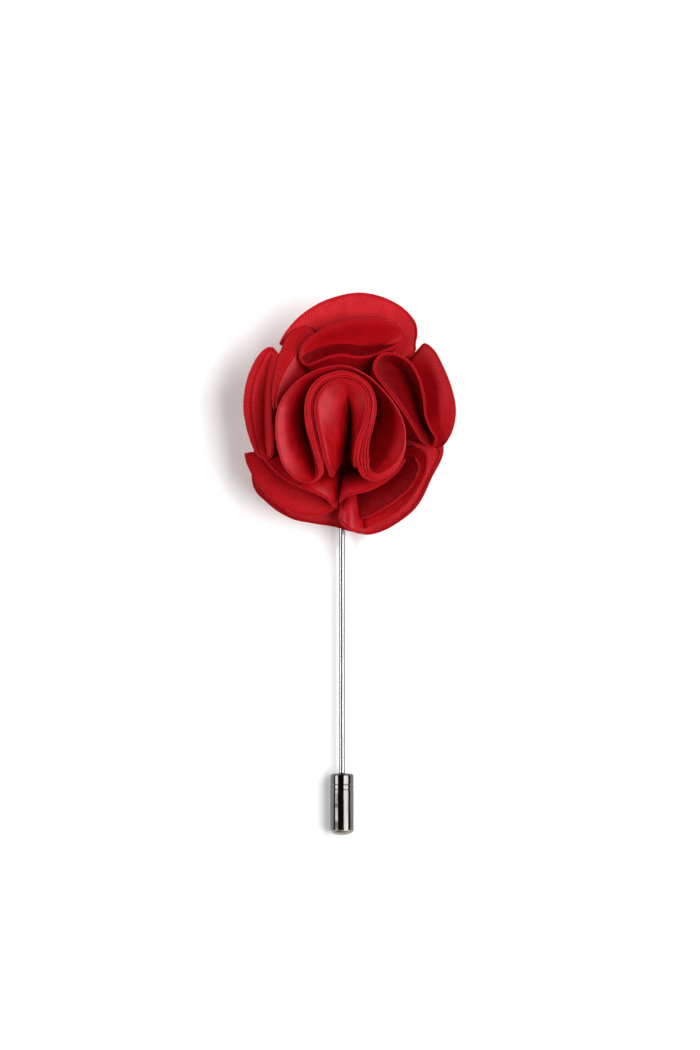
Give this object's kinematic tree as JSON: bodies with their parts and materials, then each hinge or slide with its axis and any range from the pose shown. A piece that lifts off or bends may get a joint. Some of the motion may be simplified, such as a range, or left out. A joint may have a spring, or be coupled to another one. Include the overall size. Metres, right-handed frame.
{
  "type": "flower lapel pin",
  "caption": "Ruffled satin ribbon rose on a straight steel stick pin with a pull-off metal cap over its point, worn through a jacket's lapel.",
  "frame": {"origin": "middle of the whole pin's box on the surface that it lies on", "axes": "+Z out of the flower's face, +Y towards the flower's top and along the needle from its cap, +X to the right of a viewer who faces the flower"},
  "size_m": [0.038, 0.097, 0.0174],
  "materials": {
    "satin_ribbon": "crimson satin face, soft sheen",
    "ribbed_ribbon": "crimson ribbed reverse with stitched edge",
    "steel": "bright drawn steel wire",
    "cap_metal": "polished dark nickel"
  },
  "bodies": {
    "pin": {"stick_pin": "steel", "back_collar": "ribbed_ribbon", "heart_core": "satin_ribbon", "heart_fold": "satin_ribbon", "lip_left": "satin_ribbon", "lip_right": "satin_ribbon", "top_petal": "ribbed_ribbon", "top_fold": "ribbed_ribbon", "right_fold": "ribbed_ribbon", "right_petal": "satin_ribbon", "left_petal": "ribbed_ribbon", "left_inner_petal": "ribbed_ribbon", "lower_left_petal": "ribbed_ribbon", "lower_right_petal": "ribbed_ribbon", "lower_right_fold": "ribbed_ribbon", "bottom_fold": "satin_ribbon"},
    "cap": {"pin_cap": "cap_metal"}
  },
  "joints": [
    {"name": "cap_pull", "type": "slide", "parent": "pin", "child": "cap", "axis": [0, -1, 0], "range_m": [0, 0.012]}
  ]
}
